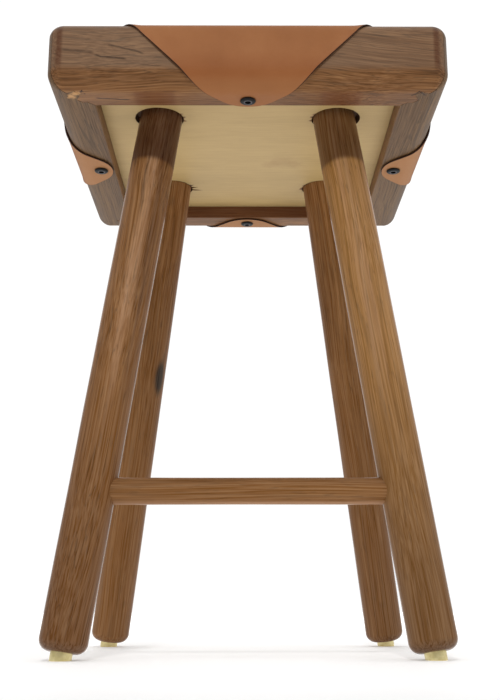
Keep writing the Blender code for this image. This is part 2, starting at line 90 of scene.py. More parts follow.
# Profile sizes that the frame's boxes don't give
TOP_ROUND = 0.0095
CORNER_ROUND = 0.0125
BOTTOM_ROUND = 0.0145
LEG_RADIUS = 0.017
LEG_TOP_RADIUS = 0.0175
LEG_END_HEIGHT = 0.0052
LEG_END_ROUND = 0.008
TENON_RADIUS = 0.0127
PIN_RADIUS = 0.0076
PIN_BURIED = 0.022
HOLE_RADIUS = 0.0199
HOLE_OFFSET = 0.0013
SHEET_HALF_DIAGONAL = 0.2415
TIP_RADIUS = 0.029
SCREW_HEAD_HEIGHT = 0.0036
SCREW_SEAT = screw_low.z + SCREW_HEAD_HEIGHT
SCREW_CROWN = 0.0017
SHANK_RADIUS = 0.0026
SOCKET_RADIUS = 0.0025
PAST_FACE = 0.02  # how far cutters reach past the wood
UP = Vector((0.0, 0.0, 1.0))


# --- mesh helpers ---

def finish_mesh(bm, name):
    """Turn a bmesh into a mesh with outward faces."""
    bmesh.ops.recalc_face_normals(bm, faces=bm.faces[:])
    mesh = bpy.data.meshes.new(name)
    bm.to_mesh(mesh)
    bm.free()
    return mesh


def add_object(name, content):
    """Link a mesh, light or camera to the scene."""
    thing = bpy.data.objects.new(name, content)
    bpy.context.scene.collection.objects.link(thing)
    return thing


def add_piece(name, mesh, node, material, angle=32, place=Matrix()):
    """Put a finished mesh in the place of a CAD node; edges above angle stay sharp."""
    piece = add_object(name, mesh)
    piece.matrix_world = place
    mesh.materials.clear()
    mesh.materials.append(material)
    mesh.shade_smooth()
    mesh.set_sharp_from_angle(angle=math.radians(angle))
    piece.modifiers.new("weighted_normals", "WEIGHTED_NORMAL").keep_sharp = True
    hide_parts(node)
    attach(piece, "root")


def carve(mesh, cutters, operation="DIFFERENCE"):
    """Apply exact Booleans to a mesh and return the result; the cutters are used up."""
    piece = add_object("carving", mesh)
    helpers = [piece]
    for cutter in cutters:
        helpers.append(add_object("cutter", cutter))
        modifier = piece.modifiers.new("carve", "BOOLEAN")
        modifier.operation = operation
        modifier.solver = "EXACT"
        modifier.object = helpers[-1]
    bpy.context.view_layer.update()
    evaluated = piece.evaluated_get(bpy.context.evaluated_depsgraph_get())
    carved = bpy.data.meshes.new_from_object(evaluated)
    for helper in helpers:
        bpy.data.objects.remove(helper, do_unlink=True)
    return carved


def shares(count):
    """Evenly spaced numbers from 0 to 1, both included."""
    return [step / count for step in range(count + 1)]


def arc(centre_x, centre_y, radius, start, end, steps):
    """Points on an arc, angles in degrees from the first axis to the second."""
    angles = [math.radians(start + (end - start) * share) for share in shares(steps)]
    return [(centre_x + radius * math.cos(angle), centre_y + radius * math.sin(angle))
            for angle in angles]


def rectangle(low_x, low_y, high_x, high_y):
    """A plan rectangle, counter-clockwise."""
    return (low_x, low_y), (high_x, low_y), (high_x, high_y), (low_x, high_y)


def skin(bm, rings):
    """Join successive closed rings of vertices with quads."""
    count = len(rings[0])
    for lower, upper in zip(rings, rings[1:]):
        for index in range(count):
            after = (index + 1) % count
            bm.faces.new((lower[index], lower[after], upper[after], upper[index]))


def loft(levels, name):
    """A closed solid through plan outlines, from (height, outline) pairs."""
    bm = bmesh.new()
    rings = [[bm.verts.new((x, y, height)) for x, y in outline] for height, outline in levels]
    skin(bm, rings)
    bm.faces.new(rings[0])
    bm.faces.new(rings[-1])
    return finish_mesh(bm, name)


def prism(outline, low, high):
    """A plan outline drawn up from one height to another."""
    return loft(((low, outline), (high, outline)), "prism")


def rod(radius, low, high, segments, place):
    """A cylinder mesh on its own Z axis, then moved by a matrix."""
    bm = bmesh.new()
    centre = Matrix.Translation(UP * (low + high) / 2)
    bmesh.ops.create_cone(bm, cap_ends=True, segments=segments, radius1=radius,
                          radius2=radius, depth=high - low, matrix=place @ centre)
    return finish_mesh(bm, "rod")


def cut_away(bm, point, normal):
    """Remove what lies beyond a plane and return what the cut made."""
    geometry = bm.verts[:] + bm.edges[:] + bm.faces[:]
    return bmesh.ops.bisect_plane(bm, geom=geometry, dist=1e-6, plane_co=point,
                                  plane_no=normal, clear_outer=True)["geom_cut"]


def lathe(profile, segments, wobble=None):
    """A closed turned solid from (radius, height) pairs that start and end on the axis."""
    bm = bmesh.new()
    first = bm.verts.new(UP * profile[0][1])
    last = bm.verts.new(UP * profile[-1][1])
    rings = []
    for radius, height in profile[1:-1]:
        ring = []
        for step in range(segments):
            angle = 2 * math.pi * step / segments
            out = Vector((math.cos(angle), math.sin(angle), 0.0))
            size = radius + (wobble(out, radius, height) if wobble else 0.0)
            ring.append(bm.verts.new(out * size + UP * height))
        rings.append(ring)
    skin(bm, rings)
    for index in range(segments):
        after = (index + 1) % segments
        bm.faces.new((first, rings[0][after], rings[0][index]))
        bm.faces.new((last, rings[-1][index], rings[-1][after]))
    return bm


# --- material helpers ---

class Shader:
    """The nodes of a material or world, with the colour that is built up so far."""

    def __init__(self, name, kind="materials", surface="Principled BSDF"):
        self.owner = getattr(bpy.data, kind).new(name)
        self.owner.use_nodes = True
        self.tree = self.owner.node_tree
        self.surface = self.tree.nodes[surface]
        self.colour = None

    def feed(self, socket, value):
        """Link an input to a socket, or give it a value; colours have three numbers."""
        if isinstance(value, bpy.types.NodeSocket):
            self.tree.links.new(value, socket)
        elif socket.type == "RGBA":
            socket.default_value = (*value, 1.0)
        else:
            socket.default_value = value

    def node(self, kind, inputs=(), **settings):
        """Add a node and return its outputs; inputs maps names or numbers to values."""
        made = self.tree.nodes.new("ShaderNode" + kind)
        for key, value in settings.items():
            setattr(made, key, value)
        for key, value in dict(inputs).items():
            self.feed(made.inputs[key], value)
        return made.outputs

    def set(self, **values):
        """Feed the surface's inputs; underscores stand for spaces."""
        for key, value in values.items():
            self.feed(self.surface.inputs[key.replace("_", " ")], value)

    def finish(self, **values):
        """Give the surface its colour and the given inputs, and return the material."""
        self.set(Base_Color=self.colour, **values)
        return self.owner

    def position(self, scale=(1.0, 1.0, 1.0), turn=(0.0, 0.0, 0.0), shift=(0.0, 0.0, 0.0)):
        """Object coordinates, shifted, turned (degrees) and scaled."""
        moved = self.vector("ADD", self.node("TexCoord")["Object"], shift)
        return self.node("Mapping", {
            "Vector": moved, "Rotation": [math.radians(angle) for angle in turn],
            "Scale": scale})[0]

    def axes(self, where=None):
        """The X, Y and Z of a position."""
        return self.node("SeparateXYZ", {0: where or self.position()})

    def noise(self, where, scale=1.0, detail=3.0, roughness=0.55, distortion=0.0):
        """Noise value at a position."""
        return self.node("TexNoise", {
            "Vector": where, "Scale": scale, "Detail": detail,
            "Roughness": roughness, "Distortion": distortion})[0]

    def wander(self, where, reach, source, scale, detail):
        """A position moved by up to reach on each axis, by the noise at a source."""
        drift = self.node("TexNoise", {"Vector": source, "Scale": scale, "Detail": detail})
        return self.vector("ADD", where, self.vector("MULTIPLY", drift["Color"], reach))

    def math(self, operation, first, second=0.5):
        """One Math node."""
        return self.node("Math", {0: first, 1: second}, operation=operation)[0]

    def times(self, first, second):
        """The product of two values."""
        return self.math("MULTIPLY", first, second)

    def plus(self, first, second):
        """The sum of two values."""
        return self.math("ADD", first, second)

    def apart(self, first, second):
        """The distance between two values."""
        return self.math("ABSOLUTE", self.math("SUBTRACT", first, second))

    def vector(self, operation, first, second=(0.0, 0.0, 0.0)):
        """One Vector Math node: its value where the operation gives one, else its vector."""
        made = self.node("VectorMath", {0: first, 1: second}, operation=operation)
        return made["Value" if operation in ("DISTANCE", "DOT_PRODUCT", "LENGTH") else "Vector"]

    def span(self, value, low, high, to_low=0.0, to_high=1.0, kind="LINEAR"):
        """Map a value's range to another, clamped."""
        return self.node("MapRange", {
            "Value": value, "From Min": low, "From Max": high,
            "To Min": to_low, "To Max": to_high}, interpolation_type=kind)[0]

    def fade(self, value, low, high, to_low=0.0, to_high=1.0):
        """Like span, with a gentle start and end."""
        return self.span(value, low, high, to_low, to_high, "SMOOTHSTEP")

    def ramp(self, value, tones, low=0.0, high=1.0):
        """Start the colour with a ramp through evenly spaced tones."""
        made = self.tree.nodes.new("ShaderNodeValToRGB")
        self.feed(made.inputs[0], value)
        elements = made.color_ramp.elements
        while len(elements) < len(tones):
            elements.new(0.5)
        for element, tone, share in zip(elements, tones, shares(len(tones) - 1)):
            element.position = low + (high - low) * share
            element.color = (*tone, 1.0)
        self.colour = made.outputs[0]

    def paint(self, tone, share, strength=1.0):
        """Lay a tone over the colour where share is 1, as strongly as strength."""
        self.colour = self.node("Mix", {0: self.times(share, strength), 6: self.colour, 7: tone},
                                data_type="RGBA")[2]

    def bump(self, height, distance, strength):
        """A Bump node."""
        return self.node("Bump", {"Height": height, "Distance": distance,
                                  "Strength": strength})[0]

    def near(self, point, radius, ragged=0.0, squash=(1.0, 1.0, 1.0)):
        """1 at a point in the object's space, fading to 0 at a radius.

        ragged is how far noise moves it; squash below 1 stretches it along an axis.
        """
        coords = self.position(squash)
        if ragged:
            coords = self.wander(coords, (ragged, ragged, ragged), coords, 260.0, 3.0)
        centre = [c * share + ragged / 2 for c, share in zip(point, squash)]
        return self.fade(self.vector("DISTANCE", coords, centre), radius, radius * 0.4)

    def stroke(self, start, end, width):
        """1 along a line in the object's space, fading out sideways and at its ends."""
        drift = 0.0025
        line = end - start
        shift = -start - Vector((0.0, drift, drift)) / 2
        place = self.wander(self.position(shift=shift), (0.0, drift, drift),
                            self.position(), 90.0, 2.0)
        along = self.vector("DOT_PRODUCT", place, line.normalized())
        across = self.vector("LENGTH", self.vector("CROSS_PRODUCT", place, line.normalized()))
        taper = self.fade(self.apart(along, line.length / 2), line.length / 2,
                          line.length * 0.36)
        return self.times(taper, self.fade(across, width, width * 0.2))


def srgb(red, green, blue):
    """Linear colour from 0 to 255 display values."""
    def linear(value):
        value /= 255
        return value / 12.92 if value <= 0.04045 else ((value + 0.055) / 1.055) ** 2.4
    return linear(red), linear(green), linear(blue)


# --- woods ---

RAIL_TONES = (srgb(60, 34, 17), srgb(102, 66, 36), srgb(144, 102, 60))
FRONT_TONES = (srgb(64, 38, 20), srgb(106, 70, 40), srgb(148, 106, 66))
SIDE_TONES = (srgb(55, 35, 18), srgb(86, 61, 36), srgb(117, 88, 55))
SIDE_INSIDE = srgb(128, 90, 56)
REAR_INSIDE = srgb(96, 60, 40)
LEG_TONES = (srgb(78, 48, 20), srgb(116, 75, 36), srgb(150, 105, 58))
# A lighter copy of the leg tones for the front right leg: painted light.
FRONT_RIGHT_LIT_TONES = (srgb(91, 61, 28), srgb(139, 98, 52), srgb(180, 134, 82))
FILLER = srgb(166, 124, 78)
CRACK = srgb(48, 28, 16)

RAIL_LOOKS = {
    "front": dict(shift=(0.55, 0.0, 0.0), tones=FRONT_TONES, inside=RAIL_TONES[1],
                  figure=1.3, slope=-3.5),
    "rear": dict(shift=(1.70, 0.3, 0.0), tones=RAIL_TONES, inside=REAR_INSIDE),
    "left": dict(shift=(0.0, 2.90, 0.0), tones=SIDE_TONES, inside=SIDE_INSIDE),
    "right": dict(shift=(0.0, -3.70, 0.1), tones=SIDE_TONES, inside=SIDE_INSIDE),
}

# Dark growth lines on the front face and below it, and a hairline crack at the front
# right joint: start, end, half width, strength.  X is from the stool's middle, Y from
# its front face and Z from the frame's bottom.
RAIL_MARKS = {
    "front": (
        ((-0.1175, 0.0, 0.0242), (-0.0910, 0.0, 0.0209), 0.0013, 0.90),
        ((-0.1080, 0.0, 0.0335), (-0.0780, 0.0, 0.0252), 0.0013, 0.80),
        ((-0.1430, 0.0, 0.0292), (-0.1160, 0.0, 0.0259), 0.0018, 0.60),
        ((-0.1190, 0.0219, 0.0), (-0.0900, 0.0247, 0.0), 0.0014, 1.00),
        ((0.1253, 0.0182, 0.0), (0.1322, 0.0106, 0.0), 0.0012, 1.00)),
    "right": (
        ((0.1306, 0.0106, 0.0), (0.1375, 0.0182, 0.0), 0.0012, 1.00),),
}

# Spots of filler and open glue line at the front left joint: distance from the left
# face, distance from the front face, radius, tone
JOINT_SPOTS = ((0.0170, 0.0195, 0.0044, FILLER), (0.0215, 0.0150, 0.0040, FILLER),
               (0.0255, 0.0120, 0.0018, CRACK), (0.0285, 0.0150, 0.0016, CRACK))

# sap and dusk are strips of (angle round the leg, half width, strength), in degrees; the
# pale sap strip is partly sapwood and partly a painted sheen.  painted_seat_shadow is a painted
# shadow of the seat and painted_foot_shade painted shade toward the floor.
LEG_LOOKS = {
    "front_left": dict(shift=(0.00, 0.10, 0.60), lean=3.0, figure=0.5, lines=0.38,
                       veins=0.60, vein_rate=220.0, painted_seat_shadow=0.72, painted_foot_shade=0.36,
                       sap_and_painted_light=(-84.0, 26.0, 0.40), dusk=(-38.0, 40.0, 0.8)),
    "front_right": dict(shift=(0.40, -0.20, 1.90), tones=FRONT_RIGHT_LIT_TONES, lean=-1.5,
                        painted_seat_shadow=0.60, painted_foot_shade=0.55, sap_and_painted_light=(-100.0, 24.0, 0.40)),
    "rear_left": dict(shift=(0.90, 0.30, 3.10), painted_foot_shade=-0.10,
                      knot=(0.0135, -0.0105, 0.251)),
    "rear_right": dict(shift=(1.50, 0.70, 4.30)),
}


def walnut(name, turn, shift, tones, figure, bands, lines, veins, run,
           vein_rate=100.0, gloss=0.5, shine=0.28, glint=0.5):
    """Oiled walnut with its grain along the turned X axis.

    tones are dark, middle and light; figure is how far the grain wanders; bands,
    lines and veins are how strongly broad tone changes, narrow streaks and dark
    growth lines show; a lower run makes them longer, a higher vein_rate gives more
    growth lines; gloss is the roughness, shine the strength of the sheen and glint
    how much it varies from fibre to fibre.
    """
    shader = Shader(name)
    base = shader.position(turn=turn, shift=shift)

    def stretched(source, along, across):
        return shader.node("Mapping", {"Vector": source, "Scale": (along, across, across)})[0]

    bent = shader.wander(base, (0.0, 0.03 * figure, 0.03 * figure),
                         stretched(base, 6.0, 9.0), 1.0, 1.5)
    tone = shader.noise(stretched(bent, 2.5, 30.0), detail=2.0)
    streak = shader.noise(stretched(bent, 9.0 * run, 400.0), detail=2.0, roughness=0.5)
    fibre = shader.noise(stretched(bent, 20.0 * run, 850.0), detail=2.0, roughness=0.65)
    vein = shader.noise(stretched(bent, 5.0 * run, vein_rate), detail=2.0, roughness=0.4)
    vein = shader.fade(shader.apart(vein, 0.5), 0.022, 0.0)
    pores = shader.span(shader.noise(stretched(bent, 80.0, 900.0), detail=1.0), 0.60, 0.70)

    level = 0.5
    for value, weight in ((tone, bands * 1.2), (streak, 0.8 * lines), (fibre, 1.9 * lines)):
        level = shader.plus(level, shader.times(shader.math("SUBTRACT", value, 0.5), weight))
    shader.ramp(level, tones, 0.12, 0.88)
    deep = tuple(c * 0.42 for c in tones[0])
    shader.paint(deep, vein, veins)
    shader.paint(deep, pores, 0.40)
    height = shader.math("SUBTRACT", shader.times(fibre, 0.5), pores)
    shader.set(Roughness=shader.span(fibre, 0.3, 0.7, gloss - 0.09, gloss + 0.07),
               Normal=shader.bump(height, 0.00010, 0.6),
               Specular_IOR_Level=shader.span(fibre, 0.35, 0.65, shine * (1.0 - glint),
                                              shine * (1.0 + glint)),
               Specular_Tint=(1.0, 0.80, 0.58))
    return shader


def rail_material(word, axis, shift, tones, inside, figure=0.5, slope=0.0):
    """Walnut for one rail, darker along its rounded ends, where a dark reflection is painted.

    axis is the one that the rail runs along, inside the colour of its inner face and
    slope its grain's, in degrees.  The upright faces get a painted grey sheen, and the
    front rail a dim painted reflection of the leg tops.
    """
    shader = walnut(f"walnut_{word}_rail", (0.0, slope, 90.0 * axis), shift, tones, figure,
                    bands=0.45, lines=0.40, veins=0.45, run=0.6)
    coords = shader.axes()
    along = shader.math("ABSOLUTE", coords[axis])
    aside = shader.math("ABSOLUTE", coords[1 - axis])
    rise = shader.math("SUBTRACT", coords[2], FRAME_BOTTOM)
    # Painted grey sheen on the upright faces, above the bottom round.
    shader.paint(srgb(102, 86, 73), shader.fade(rise, 0.010, 0.018), 0.36)
    # Painted dark reflection along the rounded corners at the rail's ends.
    edge = shader.fade(shader.apart(along, HALF_SEAT - 0.0098), 0.0036, 0.0008)
    edge = shader.times(edge, shader.span(rise, 0.008, 0.020))
    shader.paint(srgb(72, 36, 20), edge, 0.65)
    inner = shader.span(aside, HALF_OPENING + 0.0010, HALF_OPENING + 0.0002)
    shader.paint(inside, inner, 0.7)
    for from_side, from_front, size, tint in JOINT_SPOTS:
        spot = (-HALF_SEAT + from_side, -HALF_SEAT + from_front, FRAME_BOTTOM + 0.0005)
        shader.paint(tint, shader.near(spot, size, ragged=0.007))
    front_edge = Vector((0.0, -HALF_SEAT, FRAME_BOTTOM))
    for start, end, width, strength in RAIL_MARKS.get(word, ()):
        mark = shader.stroke(front_edge + Vector(start), front_edge + Vector(end), width)
        shader.paint(CRACK, mark, strength)
    if word == "front":
        # Painted dim reflection of the leg tops, on the underside just behind the front face.
        beside = shader.fade(shader.apart(along, LEG_AT_PANEL), LEG_RADIUS + 0.001,
                             LEG_RADIUS - 0.004)
        behind = shader.fade(coords[1], -HALF_SEAT + 0.009, -HALF_SEAT + 0.015)
        below = shader.span(rise, 0.006, 0.003)
        shader.paint(srgb(84, 42, 24), shader.times(shader.times(beside, behind), below), 0.45)
    return shader.finish()


def leg_material(name, shift, tones=LEG_TONES, lean=0.0, figure=0.35, lines=0.36, veins=0.3,
                 vein_rate=100.0, gloss=0.57, painted_seat_shadow=0.0, painted_foot_shade=0.22, strips_from=0.14,
                 sap_and_painted_light=None, dusk=None, knot=None):
    """Walnut for a leg or rung in its own axes, Z along it.

    lean is the grain's slant in degrees.  painted_seat_shadow and painted_foot_shade are how
    much darker the wood gets toward the seat and the floor, as a painted shadow of the seat and
    painted shade near the floor; painted_foot_shade below 0 weakens the rounded end's darkening,
    darker end grain with painted shade, and None leaves both out.  sap and dusk are a
    paler and a darker strip, fading in above strips_from; the pale one is partly
    sapwood and partly a painted sheen, and on the rung painted floor light.  knot is
    the place of a dark knot.
    """
    shader = walnut(name, (lean, 90.0, 0.0), shift, tones, figure, bands=0.35, lines=lines,
                    veins=veins, run=0.45, vein_rate=vein_rate, gloss=gloss, shine=0.55,
                    glint=0.8)
    grazing = shader.node("LayerWeight", {"Blend": 0.5})["Facing"]
    shader.set(Coat_Weight=shader.span(grazing, 0.68, 0.82, 0.0, 0.6), Coat_Roughness=0.16,
               Coat_IOR=1.7, Coat_Tint=(1.0, 0.88, 0.78))
    coords = shader.axes()
    height = coords[2]
    side = shader.math("ARCTAN2", coords[1], coords[0])
    ragged = shader.noise(shader.position((160.0, 160.0, 6.0)), detail=3.0)
    # The pale sap strip is partly sapwood and partly a painted sheen of the key light.
    for strip, tint in ((sap_and_painted_light, srgb(176, 136, 104)), (dusk, srgb(78, 50, 32))):
        if strip:
            angle, width, strength = strip
            away = shader.apart(side, math.radians(angle))
            band = shader.fade(away, math.radians(width), math.radians(width) * 0.3)
            band = shader.times(band, shader.span(ragged, 0.35, 0.6))
            band = shader.times(band, shader.fade(height, strips_from, strips_from + 0.10))
            shader.paint(tint, band, strength)
    shader.paint(tones[1], shader.fade(height, 0.30, 0.14, 0.0, 0.35))
    # Painted shadow of the seat on the top of the leg.
    shader.paint(srgb(54, 25, 14), shader.fade(height, 0.386, 0.391, 0.0, painted_seat_shadow))
    # Painted shade toward the floor, and on the rounded end darker end grain with painted shade.
    if painted_foot_shade is not None:
        low = shader.fade(height, 0.26, 0.02, 0.0, painted_foot_shade)
        end = shader.span(height, LEG_END_HEIGHT + LEG_END_ROUND, LEG_END_HEIGHT, 0.0, 0.35)
        shader.paint(srgb(60, 30, 15), shader.plus(low, end))
    if knot:
        shader.paint(srgb(30, 18, 13), shader.near(knot, 0.0075, squash=(1.0, 1.0, 0.35)))
    return shader.finish()


def plywood_shader():
    """Pale rotary-cut birch, darkened inside the holes with painted shade; its colour is left
    open.
    """
    shader = Shader("birch_panel")
    wide = shader.noise(shader.position((14.0, 30.0, 14.0)), detail=3.0, distortion=0.4)
    figure = shader.noise(shader.position((30.0, 420.0, 30.0)), detail=3.0)
    fleck = shader.noise(shader.position((160.0, 1300.0, 160.0)), detail=1.0)
    level = shader.plus(shader.times(wide, 0.55), shader.times(figure, 0.45))
    shader.ramp(shader.span(level, 0.32, 0.68),
                (srgb(161, 136, 89), srgb(169, 143, 95), srgb(176, 150, 101)))
    shader.paint(srgb(150, 116, 72), shader.span(fleck, 0.66, 0.74), 0.18)
    # Painted shade on the hole walls.
    upright = shader.axes(shader.node("NewGeometry")["Normal"])[2]
    shader.paint(srgb(78, 52, 30), shader.span(shader.math("ABSOLUTE", upright), 0.8, 0.5))
    shader.set(Roughness=0.55, Specular_IOR_Level=0.35,
               Normal=shader.bump(figure, 0.00005, 0.35))
    return shader


def inner_wood_material(name, tones, grain):
    """Plain wood for the pieces hidden inside the seat."""
    shader = Shader(name)
    figure = shader.noise(shader.position(grain), detail=4.0)
    shader.ramp(shader.span(figure, 0.3, 0.7), tones)
    return shader.finish(Roughness=0.6, Normal=shader.bump(figure, 0.0001, 0.4))


# --- leather, brass and steel ---

def leather_material():
    """Vegetable-tanned leather: smooth, faintly mottled, with burnished dark edges."""
    shader = Shader("tan_leather")
    cells = shader.node("TexVoronoi", {
        "Vector": shader.position(), "Scale": 1500.0, "Randomness": 1.0},
        feature="F1")["Distance"]
    mottle = shader.noise(shader.position(), scale=30.0, detail=4.0)
    creases = shader.noise(shader.position(), scale=420.0, detail=4.0, roughness=0.65)
    shader.ramp(shader.span(mottle, 0.25, 0.75),
                (srgb(132, 82, 45), srgb(139, 88, 50), srgb(146, 95, 56)))
    shader.paint(srgb(128, 74, 42), shader.span(creases, 0.55, 0.8, 0.0, 0.10))
    x, y, z = shader.axes()
    rise = shader.math("SUBTRACT", z, FRAME_BOTTOM)
    shader.paint(srgb(124, 69, 31), shader.fade(rise, 0.030, 0.010, 0.0, 0.50))
    # Painted floor light on the flaps under the seat, stronger toward the outside.
    outward = shader.math("MAXIMUM", shader.math("ABSOLUTE", x), y)
    under = shader.times(shader.fade(rise, 0.010, 0.0),
                         shader.span(outward, 0.05, 0.12, 0.14, 0.40))
    shader.paint(srgb(176, 136, 94), under)
    rim = shader.node("Attribute", attribute_name="rim")["Fac"]
    shader.paint(srgb(48, 24, 13), shader.fade(rim, 0.30, 0.75))
    height = shader.plus(shader.times(cells, 0.5), shader.times(creases, 0.5))
    return shader.finish(Roughness=shader.span(creases, 0.3, 0.7, 0.58, 0.68),
                         Normal=shader.bump(height, 0.00007, 0.4), Specular_IOR_Level=0.16,
                         Sheen_Weight=0.02, Sheen_Roughness=0.5)


def brass_material():
    """Satin brass, turned lines round the pin and slightly uneven tarnish."""
    shader = Shader("satin_brass")
    lines = shader.noise(shader.position((30.0, 30.0, 5200.0)), detail=2.0)
    tarnish = shader.noise(shader.position(), scale=240.0, detail=3.0)
    shader.ramp(shader.span(tarnish, 0.3, 0.7), (srgb(214, 198, 138), srgb(238, 224, 170)))
    return shader.finish(Metallic=0.55, Roughness=shader.span(lines, 0.3, 0.7, 0.30, 0.46),
                         Normal=shader.bump(lines, 0.00005, 0.4))


def steel_material():
    """Black oxide steel, bright round the socket from wear and a painted highlight."""
    shader = Shader("black_oxide_steel")
    wear = shader.noise(shader.position(), scale=900.0, detail=3.0)
    shader.ramp(shader.span(wear, 0.35, 0.75), (srgb(6, 6, 7), srgb(15, 15, 17)))
    per_socket = 1.0 / SOCKET_RADIUS
    reach = shader.vector("LENGTH", shader.position((per_socket, per_socket, 0.0)))
    # A bright ring round the socket: partly wear, partly a painted highlight.
    wear_and_highlight = shader.fade(shader.apart(reach, 1.15), 0.20, 0.05, 0.0, 0.7)
    shader.paint(srgb(104, 98, 104), wear_and_highlight)
    return shader.finish(Metallic=0.1, Specular_IOR_Level=0.17,
                         Roughness=shader.span(wear, 0.3, 0.7, 0.40, 0.55),
                         Normal=shader.bump(wear, 0.00004, 0.3))


# --- seat frame ---

def plan_outline(half, radius, steps):
    """A rounded square, counter-clockwise, as a list of (x, y)."""
    corner = arc(half - radius, half - radius, radius, 0, 90, steps)
    return [Matrix.Rotation(math.pi / 2 * quarter, 2) @ Vector(point)
            for quarter in range(4) for point in corner]


def frame_block():
    """The outside of the seat frame as one solid block with rounded edges."""
    corner_steps = 10
    smallest_round = 0.0006
    side = arc(HALF_SEAT - BOTTOM_ROUND, FRAME_BOTTOM + BOTTOM_ROUND, BOTTOM_ROUND, -90, 0, 14)
    side += arc(HALF_SEAT - TOP_ROUND, FRAME_TOP - TOP_ROUND, TOP_ROUND, 0, 90, corner_steps)
    levels = []
    for half, height in side:
        radius = max(CORNER_ROUND - (HALF_SEAT - half), smallest_round)
        levels.append((height, plan_outline(half, radius, corner_steps)))
    return loft(levels, "frame_block")


def opening_mesh():
    """The square opening inside the rails, flared to break its lower edge."""
    arris = 0.0008
    levels = ((FRAME_BOTTOM - PAST_FACE, HALF_OPENING + arris + PAST_FACE),
              (FRAME_BOTTOM + arris, HALF_OPENING), (FRAME_TOP + PAST_FACE, HALF_OPENING))
    return loft([(height, rectangle(-half, -half, half, half)) for height, half in levels],
                "opening")


def mitre_path(side_x, side_y, shift):
    """Plan points of one lock mitre, from outside the corner to inside the frame."""
    stations = ((-0.006, 0.0), (0.0205, 0.0), (0.0225, 0.0062), (0.0290, 0.0062),
                (0.0325, -0.0030), (0.0385, -0.0030), (0.0405, 0.0), (0.110, 0.0))
    points = []
    for along, across in stations:
        across += shift
        from_side = (along + across) / math.sqrt(2)
        from_front = (along - across) / math.sqrt(2)
        points.append((side_x * (HALF_SEAT - from_side), side_y * (HALF_SEAT - from_front)))
    return points


def rail_region(side_x, side_y):
    """The plan prism that one rail fills."""
    glue = GAP * 0.8
    if side_y:
        outline = mitre_path(-1, side_y, glue) + mitre_path(1, side_y, glue)[::-1]
    else:
        outline = mitre_path(side_x, -1, -glue) + mitre_path(side_x, 1, -glue)[::-1]
    return prism(outline, FRAME_BOTTOM - PAST_FACE, FRAME_TOP + PAST_FACE)


def screw_place(side_x, side_y, height=0.0):
    """Matrix that moves to the axis of the screw in one flap."""
    reach = HALF_SEAT - SCREW_INSET
    return Matrix.Translation((side_x * reach, side_y * reach, height))


def screw_hole(side_x, side_y, top):
    """Cutter for a screw's shank, from below the frame up to a height."""
    return rod(SHANK_RADIUS + GAP, FRAME_BOTTOM - PAST_FACE, top, 24,
               screw_place(side_x, side_y))


def housings(side_y):
    """Cutters for the pockets that hold the batten ends."""
    inside_opening = 0.01
    cutters = []
    for node in ("left_leg_batten", "right_leg_batten"):
        low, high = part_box(node)
        edge = (high.y if side_y > 0 else low.y) + side_y * GAP
        near_y, far_y = sorted((side_y * (HALF_OPENING - inside_opening), edge))
        outline = rectangle(low.x - GAP, near_y, high.x + GAP, far_y)
        cutters.append(prism(outline, low.z - GAP, high.z + GAP))
    return cutters


def build_rails():
    """The four rails."""
    block = frame_block()
    for word, side_x, side_y in SIDES:
        mesh = carve(block.copy(), [rail_region(side_x, side_y)], "INTERSECT")
        cutters = [opening_mesh(), screw_hole(side_x, side_y, SCREW_TIP + GAP)]
        if side_y:
            cutters += housings(side_y)
        material = rail_material(word, 0 if side_y else 1, **RAIL_LOOKS[word])
        add_piece(f"{word}_rail_walnut", carve(mesh, cutters), f"{word}_rail", material,
                  angle=25)


# --- legs, pins, stretcher and panel ---

def leg_place(word):
    """Matrix that puts a leg's Z on the CAD leg's axis, and its length for each height."""
    foot = ring_centre(f"{word}_foot_pin", 0.0)
    shoulder = ring_centre(f"{word}_leg", SHOULDER)
    turn = UP.rotation_difference((shoulder - foot).normalized())
    place = Matrix.Translation(foot) @ turn.to_matrix().to_4x4()
    return place, 1.0 / place[2][2]


def leg_profile(stretch):
    """The turned profile of a leg: pin bore, rounded end, shaft, shoulder and tenon."""
    bore = PIN_RADIUS + GAP
    bore_end = (LEG_END_HEIGHT + PIN_BURIED) * stretch + GAP
    end = LEG_END_HEIGHT * stretch
    start = end + LEG_END_ROUND
    lean = math.sqrt(stretch ** 2 - 1)
    shoulder = SHOULDER * stretch - LEG_RADIUS * lean
    tenon_end = batten_high.z * stretch - TENON_RADIUS * lean - GAP
    profile = [(0.0, bore_end), (bore, bore_end), (bore, end)]
    profile += arc(LEG_RADIUS - LEG_END_ROUND, start, LEG_END_ROUND, -90, 0, 12)
    profile += [(LEG_RADIUS + (LEG_TOP_RADIUS - LEG_RADIUS) * share,
                 start + (shoulder - start) * share) for share in shares(36)[1:]]
    return profile + [(TENON_RADIUS, shoulder), (TENON_RADIUS, tenon_end), (0.0, tenon_end)]


def turned_wobble(seed, amount):
    """Slight unevenness left by hand finishing, on outside surfaces only."""
    def wobble(out, radius, height):
        if radius < LEG_RADIUS * 0.8 and radius != STRETCHER_RADIUS:
            return 0.0
        where = Vector((out.x * 1.2, out.y * 1.2, height * 14.0 + seed * 7.3))
        return amount * noise.noise(where)
    return wobble


def kerf_mesh(word):
    """The saw cut in a tenon that holds the CAD wedge, from the wedge's own size."""
    low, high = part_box(f"{word}_tenon_wedge")
    centre = (low + high) / 2
    reach = TENON_RADIUS * 1.4
    half = (high.y - low.y) / 2 + GAP
    outline = rectangle(centre.x - reach, centre.y - half, centre.x + reach, centre.y + half)
    return prism(outline, low.z - GAP, high.z + PAST_FACE)


